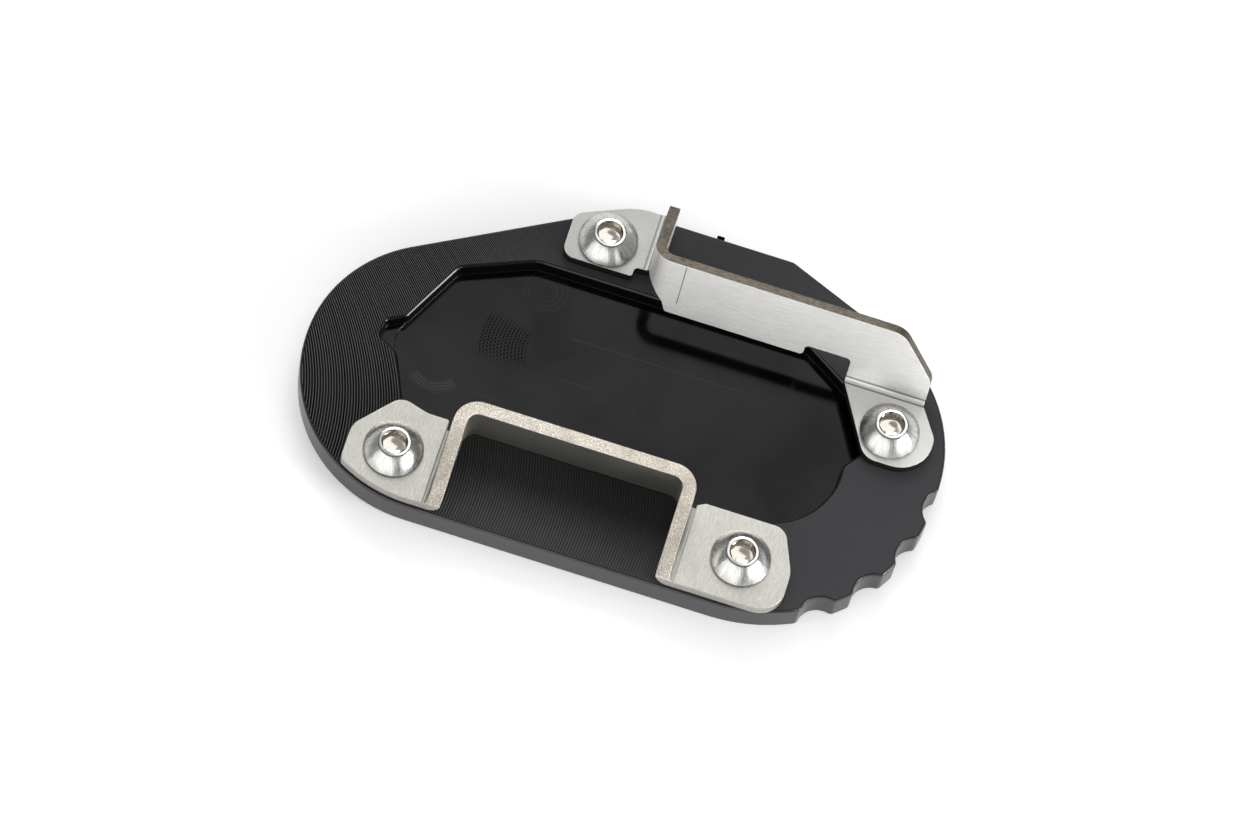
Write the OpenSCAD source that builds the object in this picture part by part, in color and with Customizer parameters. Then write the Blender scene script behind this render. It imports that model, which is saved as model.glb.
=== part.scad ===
// Kickstand foot enlarger: a milled plate that widens the foot of a motorbike's side stand.
// The stand's own foot lies in the pocket, and two folded sheet brackets grip its edges.
// Sizes are in millimetres. X runs along the plate, Y across it from near to far, and Z up.
// The origin lies on the underside, in the middle of the plate's length and width.

/* [Plate] */
// Length of the plate
plate_l = 112.8; // [110:0.2:126]
// Width of the plate
plate_w = 67.4; // [66:0.2:76]
// Thickness of the plate
plate_t = 6; // [5:0.5:10]
// Height of the left end's tip from the middle line
left_tip_y = -7.3; // [-9:0.1:-6]
// Height from the middle line at which the far left shoulder meets the left end's tangent
left_shoulder_y = 7; // [6:0.2:9]
// Slope of the far left shoulder, in degrees from the far edge
left_shoulder_a = 30.4; // [28:0.2:33]
// Height of the scalloped end's tip from the middle line
right_tip_y = -2.2; // [-3:0.1:-1.8]
// Height from the middle line at which the far right shoulder meets the right end's tangent
right_shoulder_y = 18.8; // [18:0.2:20]
// Slope of the far right shoulder, in degrees from the far edge
right_shoulder_a = 22.5; // [20:0.5:24]
// Broken edge all round the plate
plate_edge = 0.3; // [0.2:0.05:0.5]

/* [Scallops] */
// Number of scallops
scallop_count = 4; // [2:1:4]
// Angle between scallops, in degrees about the scalloped end's centre
scallop_pitch = 17.9; // [17.6:0.1:18.1]
// Angle of the first scallop from the X axis, in degrees
scallop_first = -56.4; // [-59:0.2:-56.2]
// Width of a scallop's mouth
scallop_w = 6.4; // [5.8:0.1:6.7]
// Depth of a scallop
scallop_d = 1.6; // [1.55:0.05:2.1]
// Radius of the points between scallops
scallop_tip_r = 1; // [0.9:0.05:1.2]

/* [Pocket] */
// Distance between the pocket's near rim and far rim
pocket_w = 35; // [33.5:0.5:37]
// Distance from the tip of the pocket's left lug to the tip of its right lug
pocket_l = 86.4; // [84:0.2:86.8]
// Plate left beyond the tip of the left lug
pocket_left = 12; // [10:0.2:12.4]
// Plate left between the near edge and the pocket's near rim
pocket_near = 17.3; // [17:0.1:19]
// Depth of the pocket
pocket_d = 3.1; // [2:0.1:3.8]
// How much shallower the left lug is than the rest of the pocket
lug_step = 0.5; // [0.2:0.1:1]
// Radius of the cutter's path where the deep floor ends at the left lug
floor_end_r = 5.6; // [5:0.2:7]
// Bevel of the pocket's rim
pocket_edge = 0.4; // [0.2:0.05:0.5]

/* [Screws] */
// Thread diameter
screw_d = 6; // [5:0.5:6]
// Diameter of the button head
head_d = 10.5; // [9.5:0.1:12]
// Height of the button head
head_h = 3.3; // [3:0.1:3.8]
// Diameter of the flat on top of the head
head_flat_d = 5.5; // [5.3:0.1:6.2]
// Height of the head's upright rim
head_rim = 0.5; // [0.3:0.1:0.8]
// Hexagon socket, across the flats
socket_af = 4; // [3:0.5:4]
// Depth of the hexagon socket
socket_d = 2.1; // [1.6:0.1:2.4]
// How far the screw's tip stays above the plate's underside
tip_recess = 0.6; // [0.4:0.1:1]
// Clearance round the thread in the plate, on the radius
thread_gap = 0.05; // [0.03:0.01:0.1]
// Clearance round the screw in the brackets' holes, on the radius
hole_gap = 0.25; // [0.15:0.05:0.5]

/* [Near bracket] */
// Thickness of the near bracket's sheet
near_t = 2.4; // [2:0.1:2.6]
// Distance of the two near screws from the plate's near edge
near_screw_y = 8.5; // [8:0.1:9]
// Distance of the near left screw from the plate's left end
near_screw_x = 21.1; // [20.6:0.1:23]
// Distance between the two near screws
near_span = 62.5; // [61:0.5:64]
// From the near left screw to the outside of the left side wall
near_left_reach = 8.4; // [8:0.1:10]
// From the near right screw to the outside of the right side wall
near_right_reach = 10.7; // [9:0.1:12]
// Height of the near bracket's wall above the plate
near_wall_h = 8.4; // [7:0.2:12]
// Height of the side walls' near ends above the ears
near_end_rise = 0.2; // [0.1:0.1:2]
// How much of the wall's foot stands on the plate in front of the pocket's near rim
near_wall_land = 0.3; // [0.2:0.1:1]
// Inside radius of the wall's upright corners
near_corner_r = 2; // [1.5:0.1:3]
// Inside radius of the folds between the ears and the side walls
near_fold_r = 0.8; // [0.5:0.1:0.9]
// Distance of the near bracket's ears from the plate's edge
near_ear_margin = 0.5; // [0.4:0.1:1]

/* [Far bracket] */
// Thickness of the far bracket's sheet
far_t = 2; // [1.6:0.1:2.2]
// Distance of the far left screw from the plate's far edge
far_screw_y = 8; // [7.6:0.1:8.4]
// Distance of the far left screw from the plate's left end
far_screw_x = 44.7; // [43:0.1:46]
// From the far left screw to the outside of the gusset
far_left_reach = 8.5; // [8:0.1:10]
// Distance of the right screw from the plate's right end
right_screw_x = 11.2; // [11:0.1:12]
// Distance of the right screw from the pocket's far rim
right_screw_y = 12; // [11.6:0.1:12.6]
// Slope of the leaning wall, in degrees from the plate
lean = 66.4; // [60:0.2:75]
// Width of the leaning wall along its slope
lean_w = 11.2; // [10:0.2:13]
// Height of the leaning wall's lower edge above the plate
lean_gap = 4; // [3.8:0.1:5]
// How far the leaning wall's lower edge stands in front of the pocket's far rim
lean_over = 3.8; // [3:0.1:4.2]
// Inside radius of the folds beside the ears
far_fold_r = 1; // [0.6:0.1:1.2]
// Inside radius of the corner between the gusset and the leaning wall
far_corner_r = 1.8; // [1.4:0.1:2.2]
// Height of the gusset's far end above the plate
gusset_end_h = 6.4; // [5.6:0.2:8]
// Plate left bare between the pocket's far rim and the far left ear
far_ear_land = 1.8; // [1.4:0.1:2.2]

/* [Hidden] */
$fn = 96;

// How far a cutting solid passes the face that it cuts
over = 0.5;
// How far the stretches of a swept cut run on, and how far the cut passes its faces
run_on = 0.25;
past = 0.3;
// Colours, as the photograph shows them
anodised = [0.09, 0.09, 0.1];
stainless = [0.78, 0.77, 0.74];
polished = [0.86, 0.86, 0.85];

// The pocket's rims
rim_left = -plate_l / 2 + pocket_left;
rim_right = rim_left + pocket_l;
rim_near = -plate_w / 2 + pocket_near;
rim_far = rim_near + pocket_w;

// Screw places, and the radii of the holes round them
near_left = [-plate_l / 2 + near_screw_x, -plate_w / 2 + near_screw_y];
near_right = near_left + [near_span, 0];
far_left = [-plate_l / 2 + far_screw_x, plate_w / 2 - far_screw_y];
far_right = [plate_l / 2 - right_screw_x, rim_far - right_screw_y];
tapped_r = screw_d / 2 + thread_gap;
hole_r = screw_d / 2 + hole_gap;

// An outline is a list of corners, anticlockwise, each [x, y, radius]. These functions give
// where a corner's round starts and ends, its centre, and whether it bulges outward.
function way(a, b) = (b - a) / norm(b - a);
function cross2(a, b) = a[0] * b[1] - a[1] * b[0];
function heading(v) = atan2(v[1], v[0]);
function at(c, i) = c[(i + len(c)) % len(c)];
function spot(c, i) = [at(c, i)[0], at(c, i)[1]];
function back_way(c, i) = way(spot(c, i), spot(c, i - 1));
function next_way(c, i) = way(spot(c, i), spot(c, i + 1));
function half_angle(c, i) = acos(back_way(c, i) * next_way(c, i)) / 2;
function tangent(c, i) = at(c, i)[2] / tan(half_angle(c, i));
function round_start(c, i) = spot(c, i) + back_way(c, i) * tangent(c, i);
function round_end(c, i) = spot(c, i) + next_way(c, i) * tangent(c, i);
function middle_way(c, i) = way([0, 0], back_way(c, i) + next_way(c, i));
function round_centre(c, i) = spot(c, i) + middle_way(c, i) * at(c, i)[2] / sin(half_angle(c, i));
function bulges(c, i) = cross2(-back_way(c, i), next_way(c, i)) > 0;
function moved(c, place) = [for (k = c) [k[0] + place[0], k[1] + place[1], k[2]]];

// An arc is this much larger than one that would just touch its two lines, so that they cross.
cross_by = 0.0005;
// How far a corner's piece reaches past the outline
corner_past = 0.1;
function arc_r(c, i) = at(c, i)[2] + cross_by;
function out_from(centre, p, r) = centre + (p - centre) * (1 + corner_past / r);

// The piece between a corner and its arc: cut off a corner that bulges, and filled in at a hollow.
module corner_piece(c, i) {
    centre = round_centre(c, i);
    r = at(c, i)[2];
    difference() {
        polygon([
            centre,
            out_from(centre, round_start(c, i), r),
            out_from(centre, spot(c, i), r),
            out_from(centre, round_end(c, i), r)
        ]);
        translate(centre) circle(r = arc_r(c, i));
    }
}

// A flat outline with true arcs at its corners. A corner of radius 0 stays sharp.
module rounded(c) {
    every = [0 : len(c) - 1];
    difference() {
        union() {
            polygon([for (i = every) spot(c, i)]);
            for (i = every) if (at(c, i)[2] > 0 && !bulges(c, i)) corner_piece(c, i);
        }
        for (i = every) if (at(c, i)[2] > 0 && bulges(c, i)) corner_piece(c, i);
    }
}

// Runs a profile round an outline. The profile's x is inward from the outline and its y is up.
// Each stretch runs on a little where the outline curves away from what is cut, so that no web
// stays between two stretches. What is cut lies inside the outline, or round it for a hollow.
module run_round(c, hollow) {
    for (i = [0 : len(c) - 1]) {
        centre = round_centre(c, i);
        turn = 180 - 2 * half_angle(c, i);
        extra = bulges(c, i) == hollow ? run_on / at(c, i)[2] * 180 / PI : 0;
        from = bulges(c, i) == hollow ? 0 : run_on;
        to = bulges(c, i + 1) == hollow ? 0 : run_on;
        if (bulges(c, i))
            translate(centre) rotate(heading(round_start(c, i) - centre) - extra)
                rotate_extrude(angle = turn + 2 * extra)
                    translate([arc_r(c, i), 0]) mirror([1, 0]) children();
        else
            translate(centre) rotate(heading(round_end(c, i) - centre) - extra)
                rotate_extrude(angle = turn + 2 * extra) translate([arc_r(c, i), 0]) children();
        translate(round_end(c, i) - next_way(c, i) * from) rotate(heading(next_way(c, i)))
            rotate([90, 0, 90]) linear_extrude(norm(round_start(c, i + 1) - round_end(c, i)) + from + to)
                children();
    }
}

// Sheet folded round a line along +X. It starts flat under the line and turns up towards +Y.
module fold(inside_r, sheet_t, length, turn) {
    rotate([90, 0, 90]) rotate(-90) rotate_extrude(angle = turn)
        translate([inside_r, 0]) square([sheet_t, length]);
}

// The plate's outline: two round ends, two shoulders, and scallops on the near right round.
right_near_r = plate_w / 2 + right_tip_y;
end_centre = [plate_l / 2 - right_near_r, right_tip_y];
scallop_half = asin(scallop_w / 2 / right_near_r);
scallop_root = scallop_w / 2;
scallop_r = (scallop_root - scallop_d) / (sqrt(2) - 1);
round_half = (scallop_first - 1.5 * scallop_half + 90) / 2;
// Straight stretches between the rounds of each end
left_flat = 0.4;
right_flat = 3;
left_far_r = (left_shoulder_y - left_tip_y) * tan(45 + left_shoulder_a / 2);
right_far_r = (right_shoulder_y - right_tip_y - right_flat) * tan(45 + right_shoulder_a / 2);
left_corner_r = 10;
right_corner_r = 2;
function on_end(a, r) = end_centre + r * [cos(a), sin(a)];
function scallop(a) = [
    [each on_end(a - scallop_half, right_near_r), scallop_tip_r],
    [each on_end(a, right_near_r - scallop_root), scallop_r],
    [each on_end(a + scallop_half, right_near_r), scallop_tip_r]
];
plate_outline = [
    [-plate_l / 2, -plate_w / 2, plate_w / 2 + left_tip_y - left_flat],
    [each on_end(round_half - 90, right_near_r / cos(round_half)), right_near_r],
    for (k = [0 : scallop_count - 1]) each scallop(scallop_first + k * scallop_pitch),
    [plate_l / 2, right_shoulder_y, right_far_r],
    [plate_l / 2 - (plate_w / 2 - right_shoulder_y) / tan(right_shoulder_a), plate_w / 2, right_corner_r],
    [-plate_l / 2 + (plate_w / 2 - left_shoulder_y) / tan(left_shoulder_a), plate_w / 2, left_corner_r],
    [-plate_l / 2, left_shoulder_y, left_far_r]
];

// The pocket's corners. Each side's are measured from its lug's tip and the near rim, and each
// shoulder's from the same tip and the far rim.
right_side = [[-2.9, 0, 13.1], [-2.75, 15.2, 3], [0, 18.7, 1.5], [-3.3, 27.8, 3]];
right_shoulder = [[-14.4, 0, 2]];
left_shoulder = [[22.1, 0, 6], [9.5, -5.6, 2.5]];
left_side = [[3.6, 17.3, 1.5], [0.5, 15.5, 1], [0, 12.4, 1.5], [4, 10.2, 2.5], [8.4, 0, 3]];
pocket_outline = concat(
    moved(right_side, [rim_right, rim_near]),
    moved(right_shoulder, [rim_right, rim_far]),
    moved(left_shoulder, [rim_left, rim_far]),
    moved(left_side, [rim_left, rim_near])
);
// The deep floor ends in a round at the left lug, and in a line where it meets the rim beside it
floor_end = [rim_left, rim_near] + [2.7 + floor_end_r, 14.2];
floor_line_x = rim_left + 3.7;

// The stub of the holding tab that milling left on the far edge: its place, size and height
tab_place = [6.2, 1.5];
tab_size = [1.4, 0.7, 3];

// The near bracket, with heights from the plate's top. Its ears are measured from their screws.
near_wall_y = rim_near - near_wall_land;
near_corner_y = near_wall_y - near_corner_r;
near_edge_y = -plate_w / 2 + near_ear_margin;
near_wall_left = near_left[0] + near_left_reach;
near_wall_right = near_right[0] - near_right_reach;
near_corner_w = near_corner_r + near_t;
near_fold_h = near_fold_r + near_t;
near_end_h = near_t + near_end_rise;
near_flat_top = 1.8;
near_left_ear = [[3.6, 8.5, 5], [-1.6, 10, 3], [-8.2, 2.3, 4], [-8.2, -4.4, 2], [-3.2, -8.7, 0]];
near_right_ear_w = 9;
near_right_ear = [[near_right_ear_w, 0.3, 6], [5.9, 8.5, 2.8]];
near_right_corner_r = 4.5;
// How far the near right ear's far edge stands back from the wall, and its relief beside the fold
near_ear_back = 0.5;
near_relief = [1.4, 0.8, 1];
notch_r = 0.5;

// The far bracket. The leaning wall has its own frame: x along the wall, y up its slope from its
// lower edge, and z out of its front face.
far_wall_left = far_left[0] + far_left_reach;
lean_y = rim_far - lean_over;
far_corner_w = far_corner_r + far_t;
far_fold_h = far_fold_r + far_t;
lean_left = far_wall_left + far_corner_w;
far_edge_y = plate_w / 2;
far_ear_y = rim_far + far_ear_land;
gusset_y = far_ear_y + 1.9;
// Where the planes of the right ear's two faces meet the leaning wall's two faces, up its slope
ear_top_s = (far_t - lean_gap) / sin(lean);
ear_foot_s = (far_t * cos(lean) - lean_gap) / sin(lean);
// Where the fold between them starts on the wall, and where it ends on the ear
lean_fold = ear_top_s + far_fold_r * tan(lean / 2);
far_fold_y = lean_y + ear_top_s * cos(lean) - far_fold_r * tan(lean / 2);
// Outlines measured from their screws
far_left_ear = [[3.1, 8, 12], [-7.1, 3.3, 2.5]];
far_left_ear_r = 2.2;
far_left_ear_w = 7.1;
// The step in the far left ear beside the gusset's fold: its width and inside radius
ear_step = [1.6, 0.8];
// Radius of the small rounds in the leaning wall's lower edge
small_r = 0.8;
far_right_ear = [[-3, -6.2, 3.5], [7.9, -6.2, 6], [7.9, 1.2, 3]];
neck = [-10.1, 4.4];
// The notch in the leaning wall's lower edge: its left side from the right screw, and its height
notch = [-18.4, 2.2];
// The leaning wall's top right corner and the shoulder under it: [from the screw, radius, height]
lean_corner = [-2.6, 4];
lean_shoulder = [3, 2.7];
// Lower end of the bent corner between gusset and wall, up the slope at its two sides
corner_low = [5.6, 1.9];
// How far the gusset's near edge stands back from its fold's near end
gusset_back = 0.3;

// A place in a plane across X, as [up the slope, out of the leaning wall's front face]
function on_slope(y, z) = [
    (y - lean_y) * cos(lean) + (z - lean_gap) * sin(lean),
    (z - lean_gap) * cos(lean) - (y - lean_y) * sin(lean)
];

module tapped_hole(place) {
    countersink = 0.5;
    translate([each place, -over]) cylinder(h = plate_t + 2 * over, r = tapped_r);
    translate([each place, -over])
        cylinder(h = countersink + over, r1 = tapped_r + countersink + over, r2 = tapped_r);
}

module base_plate() {
    edge_cut = [[-past, -plate_edge - past], [plate_edge + past, past], [-past, past]];
    rim_cut = [[past, past], [-pocket_edge - past, past], [past, -pocket_edge - past]];
    color(anodised) difference() {
        union() {
            linear_extrude(plate_t) rounded(plate_outline);
            translate([tab_place[0], plate_w / 2 - over, tab_place[1]])
                cube([tab_size[0], tab_size[1] + over, tab_size[2]]);
        }
        translate([0, 0, plate_t - pocket_d + lug_step])
            linear_extrude(pocket_d) rounded(pocket_outline);
        translate([0, 0, plate_t - pocket_d]) linear_extrude(pocket_d) intersection() {
            rounded(pocket_outline);
            union() {
                translate(floor_end) circle(r = floor_end_r);
                translate([floor_line_x, rim_near - over]) square([pocket_l, pocket_w + 2 * over]);
            }
        }
        translate([0, 0, plate_t]) run_round(plate_outline, false) polygon(edge_cut);
        mirror([0, 0, 1]) run_round(plate_outline, false) polygon(edge_cut);
        translate([0, 0, plate_t]) run_round(pocket_outline, true) polygon(rim_cut);
        tapped_hole(near_left);
        tapped_hole(near_right);
        tapped_hole(far_left);
        tapped_hole(far_right);
    }
}

module ear_hole(place, sheet_t) {
    translate([each place, -over]) cylinder(h = sheet_t + 2 * over, r = hole_r);
}

module near_bracket() {
    fold_left = near_wall_left - near_fold_r;
    fold_right = near_wall_right + near_fold_r;
    fold_l = near_corner_y - near_edge_y;
    side_wall = [near_t, fold_l, near_wall_h - near_fold_h];
    slope_low = [near_edge_y, near_end_h];
    slope_high = [near_corner_y - near_flat_top, near_wall_h];
    slope_out = 2 * slope_low - slope_high;
    ear_far_y = near_wall_y - near_ear_back;
    left_ear = concat(
        [[fold_left, -plate_w / 2, 0], [fold_left, near_wall_y, notch_r]],
        [[near_left[0] + near_left_ear[0][0], near_wall_y, near_left_ear[0][2]]],
        moved([for (k = [1 : len(near_left_ear) - 1]) near_left_ear[k]], near_left)
    );
    right_ear = concat(
        [[fold_right, near_edge_y, 0], [near_right[0] + near_right_ear_w, near_edge_y, near_right_corner_r]],
        moved([near_right_ear[0]], near_right),
        [[near_right[0] + near_right_ear[1][0], ear_far_y, near_right_ear[1][2]]],
        [[fold_right + near_relief[0], ear_far_y, near_relief[2]]],
        [[fold_right, ear_far_y - near_relief[1], 0]]
    );
    // The near left ear keeps its margin inside the plate's round left end
    left_limit = [
        [-plate_l / 2 + near_ear_margin, near_edge_y, plate_outline[0][2] - near_ear_margin],
        [0, near_edge_y, 0],
        [0, 0, 0],
        [-plate_l / 2 + near_ear_margin, 0, 0]
    ];
    color(stainless) translate([0, 0, plate_t]) difference() {
        union() {
            linear_extrude(near_t) intersection() {
                rounded(left_ear);
                rounded(left_limit);
            }
            linear_extrude(near_t) rounded(right_ear);
            translate([fold_left, near_corner_y, near_fold_h]) rotate(-90)
                fold(near_fold_r, near_t, fold_l, 90);
            translate([fold_right, near_edge_y, near_fold_h]) rotate(90)
                fold(near_fold_r, near_t, fold_l, 90);
            translate([near_wall_left, near_edge_y, near_fold_h]) cube(side_wall);
            translate([near_wall_right - near_t, near_edge_y, near_fold_h]) cube(side_wall);
            translate([near_wall_left + near_corner_w, near_corner_y, 0]) rotate(90)
                rotate_extrude(angle = 90) translate([near_corner_r, 0]) square([near_t, near_wall_h]);
            translate([near_wall_right - near_corner_w, near_corner_y, 0])
                rotate_extrude(angle = 90) translate([near_corner_r, 0]) square([near_t, near_wall_h]);
            translate([near_wall_left + near_corner_w, near_wall_y, 0])
                cube([near_wall_right - near_wall_left - 2 * near_corner_w, near_t, near_wall_h]);
        }
        // The slope that takes the side walls down to their near ends
        translate([fold_left - over, 0, 0]) rotate([90, 0, 90])
            linear_extrude(fold_right - fold_left + 2 * over)
                polygon([slope_out, slope_high, slope_high + [0, over], slope_out + [0, 2 * near_wall_h]]);
        ear_hole(near_left, near_t);
        ear_hole(near_right, near_t);
    }
}

// The leaning wall, its corner and the gusset, bent from one sheet, in the leaning wall's frame.
module leaning_sheet() {
    neck_left = far_right[0] + neck[0];
    neck_right = far_right[0] + neck[1];
    foot = lean_fold / 2;
    depth = 2 * plate_w;
    end_x = neck_right + over;
    gusset_side = far_wall_left + far_t;
    gusset_low = on_slope(gusset_y + gusset_back, far_fold_h);
    gusset_end = on_slope(far_edge_y, gusset_end_h);
    gusset_top = [lean_w, -far_corner_w];
    gusset_fall = gusset_end - gusset_top;
    below = [-lean_w, 0];
    intersection() {
        translate([0, foot - over, 0]) rotate([-90, 0, 0]) linear_extrude(lean_w - foot + 2 * over)
            rounded([
                [far_wall_left, 0, far_corner_w],
                [end_x, 0, 0],
                [end_x, far_t, 0],
                [gusset_side, far_t, far_corner_r],
                [gusset_side, depth, 0],
                [far_wall_left, depth, 0]
            ]);
        union() {
            translate([0, 0, -far_corner_w]) linear_extrude(far_corner_w + over) rounded([
                [far_wall_left - over, corner_low[0] + over, 0],
                [far_wall_left, corner_low[0], 0],
                [lean_left, corner_low[1], 0],
                [lean_left + small_r, 0, small_r],
                [far_right[0] + notch[0], 0, small_r],
                [far_right[0] + notch[0], notch[1], small_r],
                [neck_left, notch[1], small_r],
                [neck_left, foot, 0],
                [neck_right, foot, 0],
                [neck_right, lean_shoulder[1], lean_shoulder[0]],
                [far_right[0] + lean_corner[0], lean_w, lean_corner[1]],
                [far_wall_left - over, lean_w, 0]
            ]);
            translate([far_wall_left - over, 0, 0]) rotate([90, 0, 90]) linear_extrude(far_t + 2 * over)
                polygon([
                    [corner_low[0], -far_corner_w],
                    gusset_low,
                    gusset_low + below,
                    gusset_end + gusset_fall + below,
                    gusset_end + gusset_fall,
                    gusset_top
                ]);
        }
    }
}

// The strip that folds from the leaning wall's foot into the right ear, in the wall's frame.
module folded_strip(from_x, to_x, near_y) {
    translate([from_x, 0, 0]) rotate([90, 0, 90]) linear_extrude(to_x - from_x) rounded([
        [0, 0, 0],
        [ear_top_s, 0, far_fold_r],
        [each on_slope(near_y, far_t), 0],
        [each on_slope(near_y, 0), 0],
        [ear_foot_s, -far_t, far_fold_r + far_t],
        [0, -far_t, 0]
    ]);
}

module far_bracket() {
    fold_x = far_wall_left - far_fold_r;
    gusset_room = [far_t + 2 * over, plate_w, plate_w];
    neck_left = far_right[0] + neck[0];
    neck_right = far_right[0] + neck[1];
    left_ear = concat(
        [[far_left[0] - far_left_ear_w, far_ear_y, far_left_ear_r]],
        [[fold_x - ear_step[0], far_ear_y, notch_r], [fold_x - ear_step[0], gusset_y, ear_step[1]]],
        [[fold_x, gusset_y, 0]],
        [[fold_x, far_edge_y, 0]],
        [[far_left[0] + far_left_ear[0][0], far_edge_y, far_left_ear[0][2]]],
        moved([far_left_ear[1]], far_left)
    );
    color(stainless) translate([0, 0, plate_t]) difference() {
        union() {
            linear_extrude(far_t) rounded(left_ear);
            translate([fold_x, far_edge_y, far_fold_h]) rotate(-90)
                fold(far_fold_r, far_t, far_edge_y - gusset_y, 90);
            difference() {
                translate([0, lean_y, lean_gap]) rotate([lean, 0, 0]) leaning_sheet();
                translate([far_wall_left - over, 0, far_fold_h - plate_w]) cube(gusset_room);
                translate([far_wall_left - over, far_edge_y, 0]) cube(gusset_room);
            }
            intersection() {
                translate([0, lean_y, lean_gap]) rotate([lean, 0, 0])
                    folded_strip(neck_left - over, far_right[0] + far_right_ear[2][0] + over, -plate_edge);
                translate([0, 0, -over]) linear_extrude(plate_w) rounded(concat(
                    [[neck_right, far_fold_y, 0], [neck_right, far_edge_y, 0]],
                    [[neck_left, far_edge_y, 0], [neck_left, far_fold_y, 0]],
                    moved(far_right_ear, far_right)
                ));
            }
        }
        ear_hole(far_left, far_t);
        ear_hole(far_right, far_t);
    }
}

// A button head screw with its head seated on a bracket's ear.
module screw(place, sheet_t) {
    flat_r = head_flat_d / 2;
    head_r = head_d / 2;
    dome_z = (flat_r ^ 2 + head_h ^ 2 - head_r ^ 2 - head_rim ^ 2) / (2 * (head_h - head_rim));
    dome_r = norm([flat_r, head_h - dome_z]);
    shank_r = screw_d / 2;
    shank_l = sheet_t + plate_t - tip_recess;
    tip_bevel = 0.7;
    mouth_bevel = 0.3;
    corner_d = socket_af / cos(30);
    color(polished) translate([each place, plate_t + sheet_t]) difference() {
        rotate_extrude() {
            intersection() {
                square([head_r, head_h]);
                translate([0, dome_z]) circle(r = dome_r);
            }
            polygon([
                [0, over],
                [0, -shank_l],
                [shank_r - tip_bevel, -shank_l],
                [shank_r, -shank_l + tip_bevel],
                [shank_r, over]
            ]);
        }
        translate([0, 0, head_h - socket_d]) cylinder(h = socket_d + over, d = corner_d, $fn = 6);
        translate([0, 0, head_h - mouth_bevel])
            cylinder(h = mouth_bevel + over, d1 = socket_af, d2 = corner_d + 2 * over);
    }
}

module screw_near_left() {
    screw(near_left, near_t);
}

module screw_near_right() {
    screw(near_right, near_t);
}

module screw_far_left() {
    screw(far_left, far_t);
}

module screw_far_right() {
    screw(far_right, far_t);
}

base_plate();
near_bracket();
far_bracket();
screw_near_left();
screw_near_right();
screw_far_left();
screw_far_right();
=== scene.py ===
import math

import bmesh
import bpy
from mathutils import Matrix, Vector
from mathutils.bvhtree import BVHTree


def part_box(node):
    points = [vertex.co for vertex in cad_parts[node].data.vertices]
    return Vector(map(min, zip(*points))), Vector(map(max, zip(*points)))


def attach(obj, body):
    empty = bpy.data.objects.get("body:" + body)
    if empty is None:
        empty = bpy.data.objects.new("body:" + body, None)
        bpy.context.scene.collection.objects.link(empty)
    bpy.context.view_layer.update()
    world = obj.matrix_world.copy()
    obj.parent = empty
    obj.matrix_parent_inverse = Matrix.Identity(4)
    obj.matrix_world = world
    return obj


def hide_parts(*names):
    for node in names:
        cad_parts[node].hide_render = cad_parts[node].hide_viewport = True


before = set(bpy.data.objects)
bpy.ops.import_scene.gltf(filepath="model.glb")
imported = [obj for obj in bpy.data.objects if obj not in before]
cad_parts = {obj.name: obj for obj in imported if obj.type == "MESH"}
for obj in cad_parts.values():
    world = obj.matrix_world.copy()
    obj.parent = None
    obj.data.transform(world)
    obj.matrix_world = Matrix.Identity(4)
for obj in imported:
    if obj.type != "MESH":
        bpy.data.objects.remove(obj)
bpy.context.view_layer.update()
print("frame loaded:", ", ".join(sorted(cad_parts)))

mm = 0.001
scene = bpy.context.scene


# Small helpers that keep the node trees below short

def setInputs(tree, made, inputs):
    for key, value in inputs.items():
        if isinstance(value, bpy.types.NodeSocket):
            tree.links.new(value, made.inputs[key])
        else:
            made.inputs[key].default_value = value


def addNode(tree, kind, inputs=None, **settings):
    made = tree.nodes.new(kind)
    for name, value in settings.items():
        setattr(made, name, value)
    setInputs(tree, made, inputs or {})
    return made


def calc(tree, operation, *values):
    return addNode(tree, "ShaderNodeMath", dict(enumerate(values)), operation=operation).outputs[0]


def scaled(tree, vector, by):
    factors = by if isinstance(by, (tuple, bpy.types.NodeSocket)) else (by, by, by)
    return addNode(tree, "ShaderNodeVectorMath", {0: vector, 1: factors}, operation="MULTIPLY").outputs[0]


def split(tree, vector):
    return addNode(tree, "ShaderNodeSeparateXYZ", {0: vector}).outputs


def ranged(tree, value, fromLow, fromHigh, toLow=0.0, toHigh=1.0):
    made = addNode(tree, "ShaderNodeMapRange", {0: value, 1: fromLow, 2: fromHigh, 3: toLow, 4: toHigh})
    return made.outputs[0]


def mixed(tree, factor, first, second):
    made = addNode(tree, "ShaderNodeMix", {0: factor, 6: first, 7: second}, data_type="RGBA")
    return made.outputs[2]


def distance(tree, along, at):
    return calc(tree, "ABSOLUTE", calc(tree, "SUBTRACT", along, at))


def flatReach(tree, parts):
    square = calc(tree, "MULTIPLY", parts["Y"], parts["Y"])
    return calc(tree, "SQRT", calc(tree, "MULTIPLY_ADD", parts["X"], parts["X"], square))


def bumped(tree, height, depth):
    made = addNode(tree, "ShaderNodeBump", {"Height": height, "Strength": 1.0, "Distance": depth * mm})
    return made.outputs[0]


def newGroup(name, inputs, outputs):
    tree = bpy.data.node_groups.new(name, "ShaderNodeTree")
    for socketName, kind, value in inputs:
        socket = tree.interface.new_socket(name=socketName, in_out="INPUT", socket_type=kind)
        if value is not None:
            socket.default_value = value
    for socketName, kind in outputs:
        tree.interface.new_socket(name=socketName, in_out="OUTPUT", socket_type=kind)
    return tree, addNode(tree, "NodeGroupInput").outputs, addNode(tree, "NodeGroupOutput").inputs


def useGroup(tree, group, place, settings):
    return addNode(tree, "ShaderNodeGroup", dict(settings, Vector=place), node_tree=group).outputs[0]


def bareMaterial(name):
    material = bpy.data.materials.new(name)
    material.use_nodes = True
    material.node_tree.nodes.clear()
    return material, material.node_tree


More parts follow.
